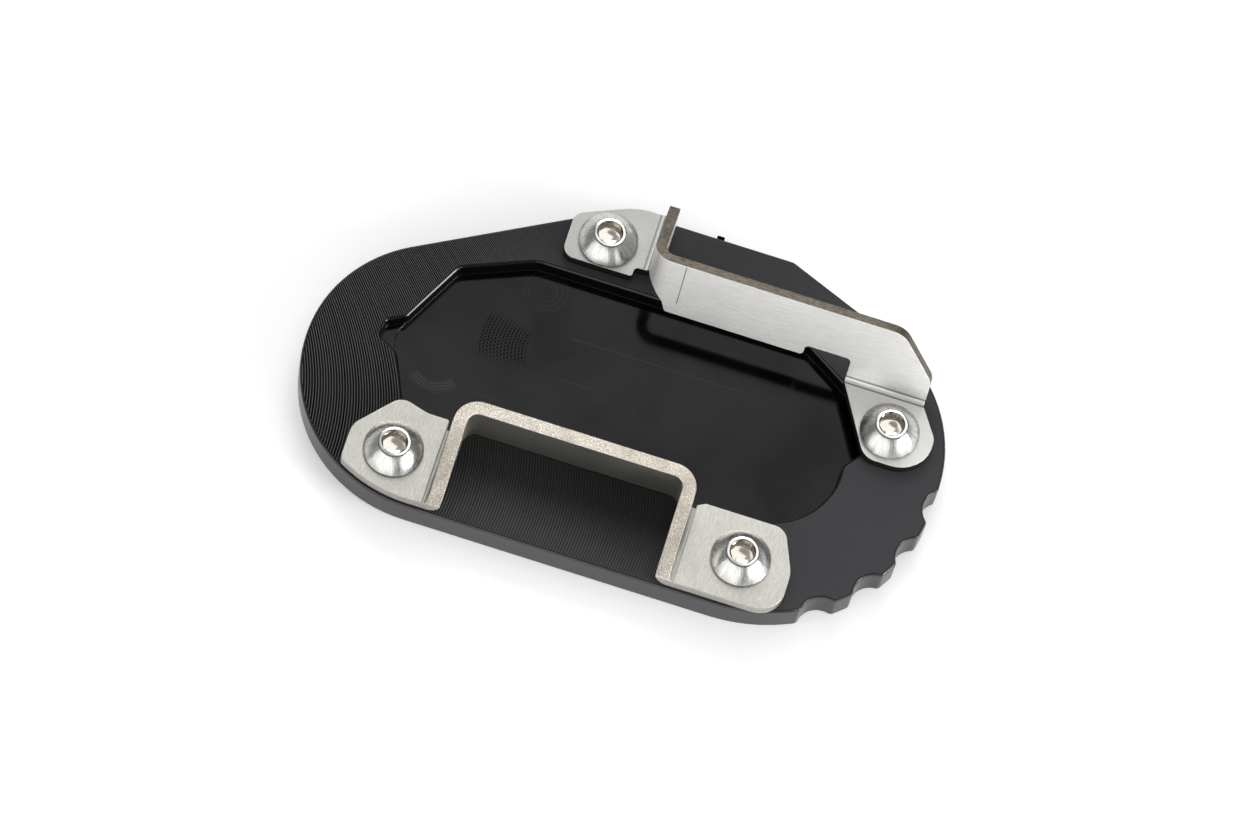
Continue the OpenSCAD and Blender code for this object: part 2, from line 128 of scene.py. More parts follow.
def newMaterial(name):
    material, tree = bareMaterial(name)
    output = addNode(tree, "ShaderNodeOutputMaterial")
    shader = addNode(tree, "ShaderNodeBsdfPrincipled")
    tree.links.new(shader.outputs[0], output.inputs[0])
    place = scaled(tree, addNode(tree, "ShaderNodeTexCoord").outputs["Object"], 1 / mm)
    return material, tree, shader, place


def putObject(name, data):
    made = bpy.data.objects.new(name, data)
    scene.collection.objects.link(made)
    return made


# Camera, at the photograph's angle

cameraPlan = {
    "place": (0.028917106, -0.447790364, 0.947081970),
    "right": (0.9534736803, 0.2828018145, 0.1044560892),
    "up": (-0.3002531188, 0.8596040788, 0.4134754256),
    "back": (0.0271294223, -0.4255631111, 0.9045219914),
    "lens": 172.8,
    "sensor": 36.0,
    "near": 0.05,
    "far": 20.0,
}


def placeCamera(plan):
    lens = bpy.data.cameras.new("camera")
    lens.lens = plan["lens"]
    lens.sensor_width = plan["sensor"]
    lens.clip_start = plan["near"]
    lens.clip_end = plan["far"]
    camera = putObject("camera", lens)
    turn = Matrix([plan["right"], plan["up"], plan["back"]]).transposed().to_4x4()
    camera.matrix_world = Matrix.Translation(plan["place"]) @ turn
    scene.camera = camera


placeCamera(cameraPlan)
print("camera placed")


# Studio: a dim dome, darker behind, a wide panel in front, a soft box overhead, one lamp behind and two at
# the right

studioPlan = {
    "domeStops": [(0.0, 0.42), (0.3, 0.26), (0.72, 0.34), (1.0, 0.10)],
    "lamps": {
        "roof": {"place": (0.22, 0.64, 1.33), "size": (1.3, 1.1), "power": 3.9},
        "front": {"place": (-0.505, -1.316, 0.54), "size": (2.3, 1.0), "power": 13.7},
        "back": {"place": (-0.3, 1.17, 0.9), "size": (1.2, 0.7), "power": 10.5},
        "right": {"place": (1.158, -0.59, 0.40), "size": (0.85, 0.6), "power": 4.8},
        "glint": {"place": (1.3, -0.2, 0.35), "size": (0.45, 0.4), "power": 11.0},
    },
}


def buildStudio(plan):
    world = bpy.data.worlds.new("studio")
    scene.world = world
    world.use_nodes = True
    tree = world.node_tree
    tree.nodes.clear()
    way = addNode(tree, "ShaderNodeTexCoord").outputs["Generated"]
    depth = addNode(tree, "ShaderNodeSeparateXYZ", {0: way}).outputs["Y"]
    ramp = addNode(tree, "ShaderNodeValToRGB", {0: ranged(tree, depth, -1.0, 1.0)})
    stops = ramp.color_ramp.elements
    while len(stops) < len(plan["domeStops"]):
        stops.new(0.5)  # where it starts doesn't matter, since every stop is placed next
    for stop, (at, level) in zip(stops, plan["domeStops"]):
        stop.position = at
        stop.color = (level, level, level, 1.0)
    dome = addNode(tree, "ShaderNodeBackground", {"Color": ramp.outputs[0]})
    white = addNode(tree, "ShaderNodeBackground", {"Color": (1.0, 1.0, 1.0, 1.0)})
    seen = addNode(tree, "ShaderNodeLightPath").outputs["Is Camera Ray"]
    both = addNode(tree, "ShaderNodeMixShader", {0: seen, 1: dome.outputs[0], 2: white.outputs[0]})
    addNode(tree, "ShaderNodeOutputWorld", {0: both.outputs[0]})
    for name, lamp in plan["lamps"].items():
        addLamp(name, **lamp)


def addLamp(name, place, size, power):
    light = bpy.data.lights.new(name, "AREA")
    light.shape = "RECTANGLE"
    light.size, light.size_y = size
    light.energy = power
    facing = Vector(place).to_track_quat("Z", "Y").to_matrix().to_4x4()  # towards the middle of the part
    putObject(name, light).matrix_world = Matrix.Translation(place) @ facing


buildStudio(studioPlan)


# Floor: pale and plain, white to the camera and in reflections, and open from below

floorPlan = {"half": 3.0, "drop": 0.03, "color": 0.86, "glow": 0.29}


def buildFloor(plan):
    mesh = bpy.data.meshes.new("floor")
    half = plan["half"]
    z = -plan["drop"] * mm  # a hair below the plate, so that the two faces don't coincide
    mesh.from_pydata([(-half, -half, z), (half, -half, z), (half, half, z), (-half, half, z)], [], [(0, 1, 2, 3)])
    floor = putObject("floor", mesh)
    material, tree = bareMaterial("paleFloor")
    level = plan["color"]
    paint = addNode(tree, "ShaderNodeBsdfDiffuse", {"Color": (level, level, level, 1.0)})
    rays = addNode(tree, "ShaderNodeLightPath").outputs
    seen = calc(tree, "MAXIMUM", rays["Is Camera Ray"], rays["Is Glossy Ray"])
    seen = calc(tree, "MAXIMUM", seen, rays["Is Transmission Ray"])
    glow = addNode(tree, "ShaderNodeEmission", {"Strength": calc(tree, "MULTIPLY", seen, plan["glow"])})
    lit = addNode(tree, "ShaderNodeAddShader", {0: paint.outputs[0], 1: glow.outputs[0]})
    under = addNode(tree, "ShaderNodeNewGeometry").outputs["Backfacing"]
    clear = addNode(tree, "ShaderNodeBsdfTransparent")
    both = addNode(tree, "ShaderNodeMixShader", {0: under, 1: lit.outputs[0], 2: clear.outputs[0]})
    addNode(tree, "ShaderNodeOutputMaterial", {0: both.outputs[0]})
    mesh.materials.append(material)


buildFloor(floorPlan)
print("studio lit")


# Shared effects, each a group with its own inputs

effectPlan = {
    "grainNoise": {"Detail": 3.0, "Roughness": 0.6},
    "handNoise": {"Detail": 4.0, "Roughness": 0.55, "Distortion": 0.4},
    "handEdge": (0.42, 0.68),
    "grooveEdge": (-1.0, -0.35),
    "unevenEvery": 0.9,
    "unevenNoise": {"Scale": 1.0, "Detail": 2.0},
    "unevenSpan": (0.3, 0.7, 0.88, 1.0),
    "markFades": {"turn": 0.12, "inner": 0.3, "outer": 0.8},
}


def groupFineGrain(plan):
    tree, given, result = newGroup(
        "fineGrain",
        [("Vector", "NodeSocketVector", None), ("Stretch", "NodeSocketVector", (1.0, 1.0, 1.0)),
         ("Size", "NodeSocketFloat", 0.3), ("Contrast", "NodeSocketFloat", 1.0)],
        [("Grain", "NodeSocketFloat")])
    place = scaled(tree, given["Vector"], given["Stretch"])
    often = calc(tree, "DIVIDE", 1.0, given["Size"])
    noise = addNode(tree, "ShaderNodeTexNoise", dict(plan["grainNoise"], Vector=place, Scale=often))
    centred = calc(tree, "SUBTRACT", noise.outputs["Fac"], 0.5)
    spread = calc(tree, "MULTIPLY_ADD", centred, calc(tree, "MULTIPLY", given["Contrast"], 2.0), 0.5)
    tree.links.new(addNode(tree, "ShaderNodeClamp", {0: spread}).outputs[0], result["Grain"])
    return tree


def groupHandMarks(plan):
    tree, given, result = newGroup(
        "handMarks",
        [("Vector", "NodeSocketVector", None), ("Size", "NodeSocketFloat", 12.0),
         ("Amount", "NodeSocketFloat", 0.5)],
        [("Marks", "NodeSocketFloat")])
    often = calc(tree, "DIVIDE", 1.0, given["Size"])
    noise = addNode(tree, "ShaderNodeTexNoise", dict(plan["handNoise"], Vector=given["Vector"], Scale=often))
    edge = ranged(tree, noise.outputs["Fac"], *plan["handEdge"])
    tree.links.new(calc(tree, "MULTIPLY", edge, given["Amount"]), result["Marks"])
    return tree


def groupCutterLines(plan):
    tree, given, result = newGroup(
        "cutterLines",
        [("Vector", "NodeSocketVector", None), ("Pitch", "NodeSocketFloat", 0.45),
         ("Bow", "NodeSocketFloat", 38.0), ("Middle", "NodeSocketFloat", -28.0)],
        [("Lines", "NodeSocketFloat")])
    parts = split(tree, given["Vector"])
    off = calc(tree, "SUBTRACT", parts["Y"], given["Middle"])
    bowed = calc(tree, "DIVIDE", calc(tree, "MULTIPLY", off, off), calc(tree, "MULTIPLY", given["Bow"], 2.0))
    along = calc(tree, "ADD", parts["X"], bowed)
    turns = calc(tree, "MULTIPLY", calc(tree, "DIVIDE", along, given["Pitch"]), 2 * math.pi)
    wave = ranged(tree, calc(tree, "SINE", turns), *plan["grooveEdge"])
    spread = calc(tree, "MULTIPLY", along, plan["unevenEvery"])
    spread = addNode(tree, "ShaderNodeCombineXYZ", {0: spread}).outputs[0]
    uneven = addNode(tree, "ShaderNodeTexNoise", dict(plan["unevenNoise"], Vector=spread))
    depth = ranged(tree, uneven.outputs["Fac"], *plan["unevenSpan"])
    tree.links.new(calc(tree, "MULTIPLY", wave, depth), result["Lines"])
    return tree


def groupToolMarks(plan):
    tree, given, result = newGroup(
        "toolMarks",
        [("Vector", "NodeSocketVector", None), ("Centre", "NodeSocketVector", (0.0, 0.0, 0.0)),
         ("Pitch", "NodeSocketFloat", 0.45), ("Inner", "NodeSocketFloat", 1.0), ("Outer", "NodeSocketFloat", 5.0),
         ("Way", "NodeSocketFloat", 0.0), ("Half Angle", "NodeSocketFloat", 1.0)],
        [("Marks", "NodeSocketFloat")])
    fades = plan["markFades"]
    away = addNode(tree, "ShaderNodeVectorMath", {0: given["Vector"], 1: given["Centre"]},
                   operation="SUBTRACT").outputs[0]
    parts = split(tree, away)
    reach = flatReach(tree, parts)
    turn = calc(tree, "SUBTRACT", calc(tree, "ARCTAN2", parts["Y"], parts["X"]), given["Way"])
    limit = calc(tree, "COSINE", given["Half Angle"])
    near = calc(tree, "SUBTRACT", calc(tree, "COSINE", turn), limit)
    pastInner = calc(tree, "SUBTRACT", reach, given["Inner"])
    beforeOuter = calc(tree, "SUBTRACT", given["Outer"], reach)
    area = ranged(tree, near, 0.0, fades["turn"])
    area = calc(tree, "MULTIPLY", area, ranged(tree, pastInner, 0.0, fades["inner"]))
    area = calc(tree, "MULTIPLY", area, ranged(tree, beforeOuter, 0.0, fades["outer"]))
    rings = calc(tree, "SINE", calc(tree, "MULTIPLY", calc(tree, "DIVIDE", reach, given["Pitch"]), 2 * math.pi))
    tree.links.new(calc(tree, "MULTIPLY", ranged(tree, rings, -1.0, 1.0), area), result["Marks"])
    return tree


fineGrain = groupFineGrain(effectPlan)
handMarks = groupHandMarks(effectPlan)
cutterLines = groupCutterLines(effectPlan)
toolMarks = groupToolMarks(effectPlan)


# The plate's black anodised finish: a smooth glossy pocket with plain sides

plateFinish = {
    "floor": (0.0015, 0.0015, 0.0018, 1.0),
    "side": (0.034, 0.034, 0.037, 1.0),
    "wall": (0.002, 0.002, 0.002, 1.0),
    "flatLevels": (0.90, 0.95),
    "floorHeights": (0.3, 0.6),
    "inwardReach": (-1.0, -2.0),
    "floorRough": 0.11,
    "sideRough": 0.26,
    "rimRough": 0.12,
    "rimLevels": [(0.5, 0.6), (0.85, 0.8)],
    "specular": 0.32,
    "ior": 1.5,
    "grain": {"Size": 0.25, "Contrast": 0.8},
    "grainDepth": 0.002,
    "floorSmooth": 0.9,
    "smears": {"Size": 16.0, "Amount": 0.5},
    "smearRough": 0.05,
    "clouds": {"Size": 20.0, "Amount": 1.0},
    "cloudBlack": 0.30,
    "dots": {"Centre": (-12.0, 4.1, 0.0), "Pitch": 0.62, "Inner": 7.4, "Outer": 16.5, "Way": 3.48,
             "Half Angle": 0.75},
    "dotSlant": 0.5,
    "dotEdge": (-0.9, 0.3),
    "dotBand": {"middle": 4.0, "ends": (6.0, 3.0)},
    "dotDark": (0.0, 0.0, 0.0, 1.0),
    "dotBlack": 0.95,
    "dotRough": 0.5,
    "dotDepth": 0.006,
    "arcs": {"Centre": (-33.4, -4.5, 0.0), "Pitch": 0.55, "Inner": 3.4, "Outer": 5.9, "Way": -1.5,
             "Half Angle": 1.0},
    "arcStrength": 0.5,
    "swirl": {"Centre": (-19.5, 15.1, 0.0), "Pitch": 0.9, "Inner": 1.0, "Outer": 4.6, "Way": 1.0,
              "Half Angle": 3.0},
    "swirlStrength": 0.10,
    "passes": [(7.8, -14.0, 23.0), (-0.4, -14.0, -3.0), (-7.75, -27.5, -19.0)],  # y, from x, to x
    "passHalf": 0.14,
    "passEnds": (2.0, 6.0),
    "passStrength": 0.3,
    "markLight": (0.06, 0.06, 0.064, 1.0),
    "markDepth": 0.007,
}


def makePlateFinish(plan):
    material, tree, shader, place = newMaterial("anodisedPlate")
    facing = addNode(tree, "ShaderNodeNewGeometry").outputs["Normal"]
    upward = split(tree, facing)["Z"]
    parts = split(tree, place)
    flat = ranged(tree, calc(tree, "ABSOLUTE", upward), *plan["flatLevels"])
    floor = calc(tree, "MULTIPLY", flat, ranged(tree, parts["Z"], *plan["floorHeights"]))

    # The pocket's wall faces the middle of the plate, and the outer side faces away from it
    around = split(tree, scaled(tree, facing, place))
    inward = ranged(tree, calc(tree, "ADD", around["X"], around["Y"]), *plan["inwardReach"])
    inward = calc(tree, "MULTIPLY", inward, calc(tree, "SUBTRACT", 1.0, flat))

    # Cutter marks on the floor: a patch of dots, arcs, a faint swirl and straight passes
    dots = useGroup(tree, toolMarks, place, plan["dots"])
    slant = calc(tree, "MULTIPLY_ADD", parts["X"], plan["dotSlant"], parts["Y"])
    across = calc(tree, "SINE", calc(tree, "MULTIPLY", slant, 2 * math.pi / plan["dots"]["Pitch"]))
    dotted = calc(tree, "MULTIPLY", dots, ranged(tree, across, *plan["dotEdge"]))
    offBand = distance(tree, parts["Y"], plan["dotBand"]["middle"])
    dotted = calc(tree, "MULTIPLY", dotted, ranged(tree, offBand, *plan["dotBand"]["ends"]))
    arcs = useGroup(tree, toolMarks, place, plan["arcs"])
    swirl = useGroup(tree, toolMarks, place, plan["swirl"])
    marks = calc(tree, "MAXIMUM", calc(tree, "MULTIPLY", arcs, plan["arcStrength"]),
                 calc(tree, "MULTIPLY", swirl, plan["swirlStrength"]))
    leftEnd, rightEnd = plan["passEnds"]
    for y, left, right in plan["passes"]:
        line = ranged(tree, distance(tree, parts["Y"], y), plan["passHalf"], 0.0)
        line = calc(tree, "MULTIPLY", line, ranged(tree, parts["X"], left, left + leftEnd))
        line = calc(tree, "MULTIPLY", line, ranged(tree, parts["X"], right, right - rightEnd))
        marks = calc(tree, "MAXIMUM", marks, calc(tree, "MULTIPLY", line, plan["passStrength"]))

    # Where it is metallic its black colour gives back no light, which dulls the dots and the clouds
    clouds = useGroup(tree, handMarks, place, plan["clouds"])
    black = calc(tree, "MAXIMUM", calc(tree, "MULTIPLY", dotted, plan["dotBlack"]),
                 calc(tree, "MULTIPLY", clouds, plan["cloudBlack"]))
    black = calc(tree, "MULTIPLY", black, floor)

    floorDots = calc(tree, "MULTIPLY", dotted, floor)
    color = mixed(tree, inward, plan["side"], plan["wall"])
    color = mixed(tree, floor, color, plan["floor"])
    color = mixed(tree, calc(tree, "MULTIPLY", marks, floor), color, plan["markLight"])
    color = mixed(tree, floorDots, color, plan["dotDark"])

    smears = useGroup(tree, handMarks, place, plan["smears"])
    risen, level = plan["rimLevels"]
    rim = calc(tree, "MULTIPLY", ranged(tree, upward, *risen), ranged(tree, upward, *level))
    rough = calc(tree, "MULTIPLY_ADD", floor, plan["floorRough"] - plan["sideRough"], plan["sideRough"])
    rough = calc(tree, "MULTIPLY_ADD", rim, plan["rimRough"] - plan["sideRough"], rough)
    rough = calc(tree, "MULTIPLY_ADD", smears, plan["smearRough"], rough)
    rough = calc(tree, "MULTIPLY_ADD", floorDots, plan["dotRough"], rough)

    grain = useGroup(tree, fineGrain, place, plan["grain"])
    deepDots = calc(tree, "MULTIPLY", dotted, plan["dotDepth"] / plan["markDepth"])
    markHeight = calc(tree, "MULTIPLY", calc(tree, "ADD", marks, deepDots), floor)
    smooth = calc(tree, "MULTIPLY_ADD", floor, -plan["floorSmooth"], 1.0)
    height = calc(tree, "MULTIPLY", grain, smooth)
    height = calc(tree, "MULTIPLY_ADD", markHeight, -plan["markDepth"] / plan["grainDepth"], height)
    setInputs(tree, shader, {
        "Base Color": color, "Roughness": rough, "Metallic": black, "Specular IOR Level": plan["specular"],
        "IOR": plan["ior"], "Normal": bumped(tree, height, plan["grainDepth"])})
    return material


# The plate's milled top: curved cutter lines that fade towards both ends

topFinish = {
    "smooth": (0.055, 0.056, 0.059, 1.0),
    "ridge": (0.118, 0.120, 0.124, 1.0),
    "groove": (0.0, 0.0, 0.0, 1.0),
    "rough": 0.38,
    "grooveRough": 0.4,
    "specular": 0.02,
    "ior": 1.5,
    "pitch": 0.50,
    "lineDepth": 0.03,
    "fades": [(-38.0, -16.0, 0.45), (5.0, 36.0, 0.04)],  # from x, to x, what is left of the lines
    "grain": {"Size": 0.25, "Contrast": 0.8},
    "grainShare": 0.07,
    "smears": {"Size": 16.0, "Amount": 0.5},
    "smearRough": 0.05,
    # channel: painted shade and painted reflection from the near bracket's wall
    "channel": {"left": -26.0, "right": 16.0, "edge": 0.5, "deepening": (-30.5, -22.5), "ending": (-10.0, -14.0),
                "strength": 0.62, "color": (0.006, 0.005, 0.004, 1.0)},
}


def makeTopFinish(plan):
    material, tree, shader, place = newMaterial("milledTop")
    parts = split(tree, place)
    lines = useGroup(tree, cutterLines, place, {"Pitch": plan["pitch"]})
    strong = 1.0
    for left, right, rest in plan["fades"]:
        strong = calc(tree, "MULTIPLY", ranged(tree, parts["X"], left, right, 1.0, rest), strong)
    cut = calc(tree, "MULTIPLY", lines, strong)
    grain = useGroup(tree, fineGrain, place, plan["grain"])
    smears = useGroup(tree, handMarks, place, plan["smears"])
    color = mixed(tree, strong, plan["smooth"], mixed(tree, lines, plan["ridge"], plan["groove"]))

    # Painted shade: the channel inside the near bracket darkens towards its wall, standing in for the wall's
    # shadow and dark reflection
    channel = plan["channel"]
    left, right, edge = channel["left"], channel["right"], channel["edge"]
    shade = ranged(tree, parts["Y"], *channel["deepening"], 0.0, channel["strength"])
    shade = calc(tree, "MULTIPLY", shade, ranged(tree, parts["X"], left - edge, left))
    shade = calc(tree, "MULTIPLY", shade, ranged(tree, parts["X"], right + edge, right))
    shade = calc(tree, "MULTIPLY", shade, ranged(tree, parts["Y"], *channel["ending"]))
    color = mixed(tree, shade, color, channel["color"])

    rough = calc(tree, "MULTIPLY_ADD", smears, plan["smearRough"], plan["rough"])
    rough = calc(tree, "MULTIPLY_ADD", cut, plan["grooveRough"], rough)
    height = calc(tree, "MULTIPLY_ADD", grain, plan["grainShare"], calc(tree, "MULTIPLY", cut, -1.0))
    setInputs(tree, shader, {
        "Base Color": color, "Roughness": rough, "Metallic": 0.0, "Specular IOR Level": plan["specular"],
        "IOR": plan["ior"], "Normal": bumped(tree, height, plan["lineDepth"])})
    return material


# Brushed stainless sheet, with dark creases at the folds and one scribed line

sheetFinish = {
    # The far sheet's colours are much lighter than the near sheet's: partly painted light on the far bracket
    "near": {"light": (0.69, 0.682, 0.628, 1.0), "dark": (0.48, 0.472, 0.43, 1.0), "rough": 0.38,
             "brush": {"Stretch": (1.0, 0.16, 1.0), "Size": 0.18, "Contrast": 1.5}, "ears": (0.90, 0.97)},
    "far": {"light": (0.95, 0.945, 0.92, 1.0), "dark": (0.79, 0.785, 0.76, 1.0), "rough": 0.54,
            "brush": {"Stretch": (0.08, 1.0, 1.0), "Size": 0.18, "Contrast": 1.5}, "ears": (0.52, 0.80)},
    "speckle": {"Size": 0.35, "Contrast": 1.0},
    "marks": {"Size": 7.0, "Amount": 0.6},
    "brushShare": 0.7,
    "speckleShare": 0.3,
    "markDark": 0.3,
    "grainRough": 0.08,
    "markRough": 0.07,
    "grainDepth": 0.009,
    # earSpan and earLevels place the painted shade on the flat ears
    "earSpan": (-12.0, 32.0),
    "earLevels": (0.90, 0.97),
    "crease": (0.13, 0.12, 0.11, 1.0),
    "lineDepth": 6.0,
    "lineEnds": (0.5, 0.1),
}

nearCreases = [{"axis": "X", "at": -27.75, "half": 0.16, "high": 8.6, "left": -50.0, "strength": 0.8},
               {"axis": "X", "at": 17.35, "half": 0.16, "high": 8.6, "left": -50.0, "strength": 0.5}]
farCreases = [{"axis": "X", "at": -4.2, "half": 0.16, "high": 8.3, "left": -30.0, "strength": 0.7},
              {"axis": "X", "at": -3.5, "half": 0.14, "high": 8.9, "left": -30.0, "strength": 0.95},
              {"axis": "Y", "at": 13.15, "half": 0.22, "high": 8.3, "left": 34.0, "strength": 1.0},
              {"axis": "Y", "at": 14.12, "half": 0.15, "high": 9.2, "left": 34.0, "strength": 0.9}]
scribedLine = {"x": 3.2, "half": 0.14, "low": 11.9, "high": 19.99, "color": (0.20, 0.19, 0.18, 1.0)}


def makeSheetFinish(name, plan, shared, creases, scribe=None):
    material, tree, shader, place = newMaterial(name)
    brushed = useGroup(tree, fineGrain, place, plan["brush"])
    speckle = useGroup(tree, fineGrain, place, shared["speckle"])
    marks = useGroup(tree, handMarks, place, shared["marks"])
    grain = calc(tree, "MULTIPLY_ADD", brushed, shared["brushShare"],
                 calc(tree, "MULTIPLY", speckle, shared["speckleShare"]))
    worn = calc(tree, "MULTIPLY_ADD", marks, -shared["markDark"], grain)
    color = mixed(tree, worn, plan["dark"], plan["light"])
    rough = calc(tree, "MULTIPLY_ADD", grain, shared["grainRough"], plan["rough"] - shared["grainRough"] / 2)
    rough = calc(tree, "MULTIPLY_ADD", marks, shared["markRough"], rough)
    height = grain

    # Painted shade: the flat ears are darkened, the left one more than the right one, for how light falls on them
    upward = split(tree, addNode(tree, "ShaderNodeNewGeometry").outputs["Normal"])["Z"]
    parts = split(tree, place)
    earShade = ranged(tree, parts["X"], *shared["earSpan"], *plan["ears"])
    earShadeScale = ranged(tree, upward, *shared["earLevels"], 1.0, earShade)
    color = scaled(tree, color, addNode(tree, "ShaderNodeCombineXYZ", {0: earShadeScale, 1: earShadeScale, 2: earShadeScale}).outputs[0])

    lowEnd, highEnd = shared["lineEnds"]
    for crease in creases:
        aside = distance(tree, parts[crease["axis"]], crease["at"])
        left, high = crease["left"], crease["high"]
        line = calc(tree, "MULTIPLY", ranged(tree, aside, crease["half"], 0.0), crease["strength"])
        line = calc(tree, "MULTIPLY", line, ranged(tree, parts["Z"], high + highEnd, high))
        line = calc(tree, "MULTIPLY", line, ranged(tree, parts["X"], left, left + lowEnd))
        color = mixed(tree, line, color, shared["crease"])
        height = calc(tree, "MULTIPLY_ADD", line, -shared["lineDepth"], height)
    if scribe:
        low, high = scribe["low"], scribe["high"]
        line = ranged(tree, distance(tree, parts["X"], scribe["x"]), scribe["half"], 0.0)
        line = calc(tree, "MULTIPLY", line, ranged(tree, parts["Z"], low, low + lowEnd))
        line = calc(tree, "MULTIPLY", line, ranged(tree, parts["Z"], high + highEnd, high))
        color = mixed(tree, line, color, scribe["color"])
        height = calc(tree, "MULTIPLY_ADD", line, -shared["lineDepth"], height)
    setInputs(tree, shader, {
        "Base Color": color, "Roughness": rough, "Metallic": 1.0,
        "Normal": bumped(tree, height, shared["grainDepth"])})
    return material


# The sheets' cut edges: speckled on top, plainer and darker where they stand upright, as dirt and painted shade

edgeFinish = {
    # The near edges are painted far lighter than the far edges: the same cut steel as lit and shaded copies,
    # painted light and painted shade
    "near": {"light": (1.0, 0.955, 0.87, 1.0), "dark": (0.44, 0.385, 0.31, 1.0),
             "stain": (0.36, 0.295, 0.235, 1.0), "upright": (0.33, 0.325, 0.315, 1.0), "rough": 0.52,
             "speckle": {"Stretch": (1.0, 1.0, 1.0), "Size": 0.19, "Contrast": 2.1}},
    "far": {"light": (0.235, 0.205, 0.165, 1.0), "dark": (0.06, 0.053, 0.040, 1.0),
            "stain": (0.07, 0.055, 0.04, 1.0), "upright": (0.10, 0.092, 0.08, 1.0), "rough": 0.40,
            "speckle": {"Stretch": (0.22, 1.0, 1.0), "Size": 0.19, "Contrast": 1.4}},
    "marks": {"Size": 6.0, "Amount": 0.8},
    "markRough": 0.1,
    "stainShare": 0.6,
    "uprightLevels": (0.3, 0.1),
    "uprightDirtAndShade": 0.72,
    "contactShadow": (0.02, 0.02, 0.02, 1.0),
    "contactShadowHeights": (6.5, 6.25),
    "grainDepth": 0.02,
}


def makeEdgeFinish(name, plan, shared):
    material, tree, shader, place = newMaterial(name)
    speckle = useGroup(tree, fineGrain, place, plan["speckle"])
    marks = useGroup(tree, handMarks, place, shared["marks"])
    color = mixed(tree, speckle, plan["dark"], plan["light"])
    color = mixed(tree, calc(tree, "MULTIPLY", marks, shared["stainShare"]), color, plan["stain"])
    upward = split(tree, addNode(tree, "ShaderNodeNewGeometry").outputs["Normal"])["Z"]
    upright = ranged(tree, calc(tree, "ABSOLUTE", upward), *shared["uprightLevels"])
    # Upright cut edges are darkened: partly dirt, partly painted shade
    color = mixed(tree, calc(tree, "MULTIPLY", upright, shared["uprightDirtAndShade"]), color, plan["upright"])
    high = split(tree, place)["Z"]
    # Painted contact shadow: a dark line low on the upright cut edges, where an ear meets the plate
    contactShadow = calc(tree, "MULTIPLY", ranged(tree, high, *shared["contactShadowHeights"]), upright)
    color = mixed(tree, contactShadow, color, shared["contactShadow"])  # the dark line where an ear meets the plate
    rough = calc(tree, "MULTIPLY_ADD", marks, shared["markRough"], plan["rough"])
    setInputs(tree, shader, {
        "Base Color": color, "Roughness": rough, "Metallic": 1.0,
        "Normal": bumped(tree, speckle, shared["grainDepth"])})
    return material


# Polished screws: fine scratches run out from the socket, with a bright ring and a dark groove round it

screwFinish = {
    "light": (0.62, 0.615, 0.595, 1.0),
    "dark": (0.40, 0.395, 0.38, 1.0),
    "rough": 0.25,
    "ring": (0.92, 0.91, 0.89, 1.0),
    "ringRadii": (2.33, 2.72),
    "ringEdge": 0.05,
    "socket": (0.86, 0.80, 0.72, 1.0),
    "socketWallShade": (0.46, 0.41, 0.345, 1.0),
    "socketRadius": 2.3,
    "socketEdge": 0.02,
    "socketRough": 0.12,
    "wallLevels": (0.45, 0.60),
    "mouth": (0.17, 0.155, 0.13, 1.0),
    "mouthFrom": 2.5,
    "mouthEdge": 0.1,
    "groove": (0.16, 0.15, 0.14, 1.0),
    "grooveRadius": 2.83,
    "grooveHalf": 0.09,
    "grooveHeights": (2.0, 2.2),
    "fan": {"around": 9.0, "outward": 0.25},
    "scratches": {"Size": 0.5, "Contrast": 1.5},
    "scratchDepth": 0.007,
    "marks": {"Size": 3.0, "Amount": 0.7},
    "markRough": 0.1,
}


